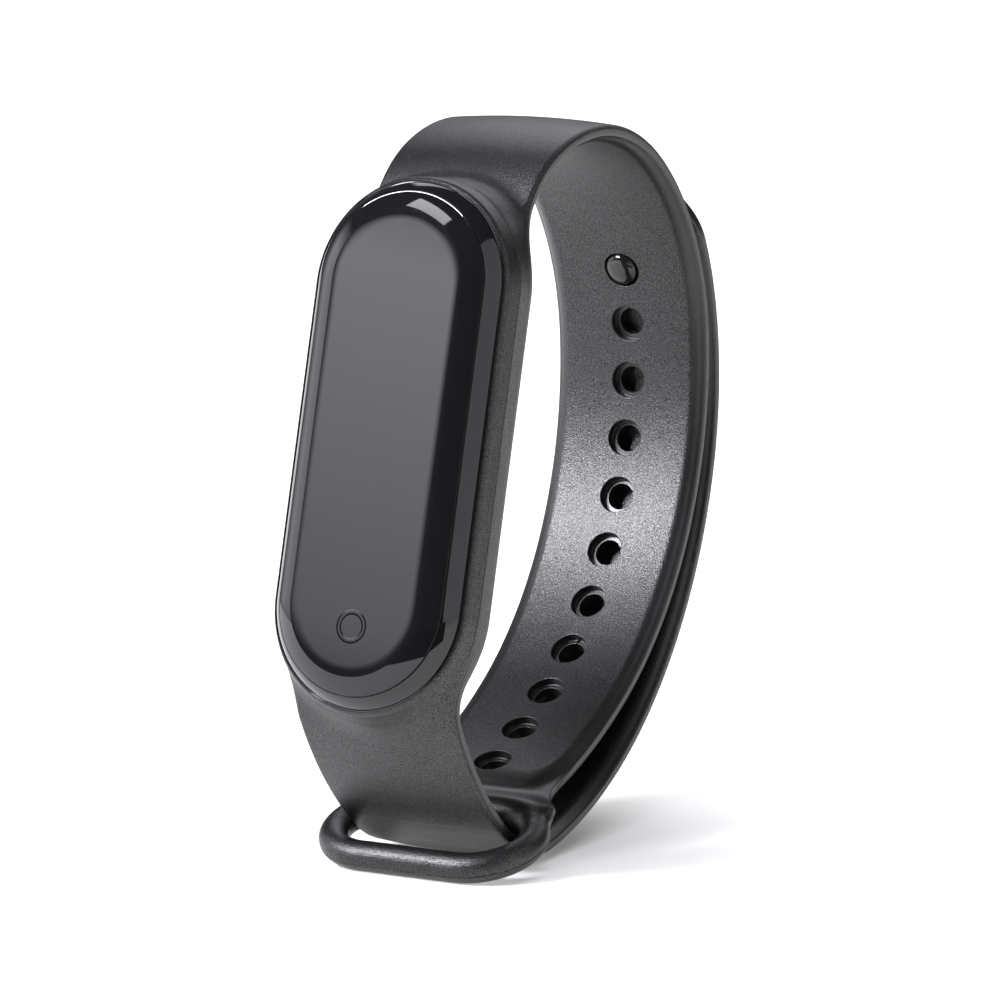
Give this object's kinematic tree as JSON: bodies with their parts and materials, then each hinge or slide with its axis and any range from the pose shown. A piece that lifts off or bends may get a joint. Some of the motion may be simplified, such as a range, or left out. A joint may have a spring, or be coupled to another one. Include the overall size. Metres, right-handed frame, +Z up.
{
  "type": "fitness tracker band",
  "caption": "Pill-shaped activity tracker with a curved dark lens, seated in a soft strap that closes into a wrist loop with a row of holes, a snap stud and a keeper loop.",
  "frame": {"origin": "on the floor under the middle of the bounding box, with the band standing on its keeper loop and the bottom of its strap", "axes": "+Z up; the display faces -Y and leans back by 14.8 degrees; X runs across the strap, along the wrist"},
  "size_m": [0.0218, 0.055, 0.065],
  "materials": {
    "strap_tpu": "matte moulded strap rubber with a fine grain and a soft sheen",
    "stud_gloss": "polished black",
    "stud_cap_satin": "satin black",
    "bezel_gloss": "piano black",
    "lens_glass": "clear cover printed black behind",
    "adhesive": "black foam tape",
    "touch_film": "clear film with a faint electrode pattern",
    "display_glass": "dark polarised glass",
    "flex_film": "amber polyimide",
    "steel_plate": "stamped, brushed",
    "board": "green solder mask",
    "chip": "moulded black",
    "copper": "bare copper",
    "battery_foil": "satin pouch foil",
    "nickel": "plain nickel strip",
    "motor_steel": "drawn can",
    "weight_steel": "sintered",
    "led": "green-tinted clear",
    "photodiode": "dark filter",
    "baffle": "black light seal",
    "sensor_window": "smoked clear cover",
    "gasket": "black seal",
    "rear_plastic": "fine satin",
    "gold_contact": "gold plated"
  },
  "bodies": {
    "band": {"band_holder": "strap_tpu", "strap_top": "strap_tpu", "strap_hole_side": "strap_tpu", "keeper_loop": "strap_tpu", "strap_stud_side": "strap_tpu"},
    "tail": {"strap_tail": "strap_tpu", "stud": "stud_gloss", "stud_cap": "stud_cap_satin"},
    "capsule": {"front_bezel": "bezel_gloss", "lens": "lens_glass", "lens_adhesive": "adhesive", "touch_film": "touch_film", "display_panel": "display_glass", "display_flex": "flex_film", "inner_frame": "steel_plate", "main_board": "board", "shield_can": "steel_plate", "processor_chip": "chip", "memory_chip": "chip", "motion_sensor_chip": "chip", "antenna": "copper", "battery_cell": "battery_foil", "battery_tabs": "nickel", "motor_can": "motor_steel", "motor_shaft": "motor_steel", "sensor_board": "board", "green_leds": "led", "photodiode": "photodiode", "light_baffle": "baffle", "sensor_window": "sensor_window", "case_gasket": "gasket", "rear_case": "rear_plastic", "charging_contacts": "gold_contact", "charging_board": "board"},
    "motor_rotor": {"motor_weight": "weight_steel"}
  },
  "joints": [
    {"name": "capsule_slide", "type": "slide", "parent": "band", "child": "capsule", "axis": [0, -0.9668, 0.2554], "range_m": [0, 0.014]},
    {"name": "tail_lift", "type": "hinge", "parent": "band", "child": "tail", "pos_m": [0, 0.02643, 0.03687], "axis": [-1, 0, 0], "range_deg": [0, 35]},
    {"name": "motor_spin", "type": "hinge", "parent": "capsule", "child": "motor_rotor", "pos_m": [0, -0.01005, 0.05125], "axis": [0, -0.9668, 0.2554], "continuous": true}
  ]
}
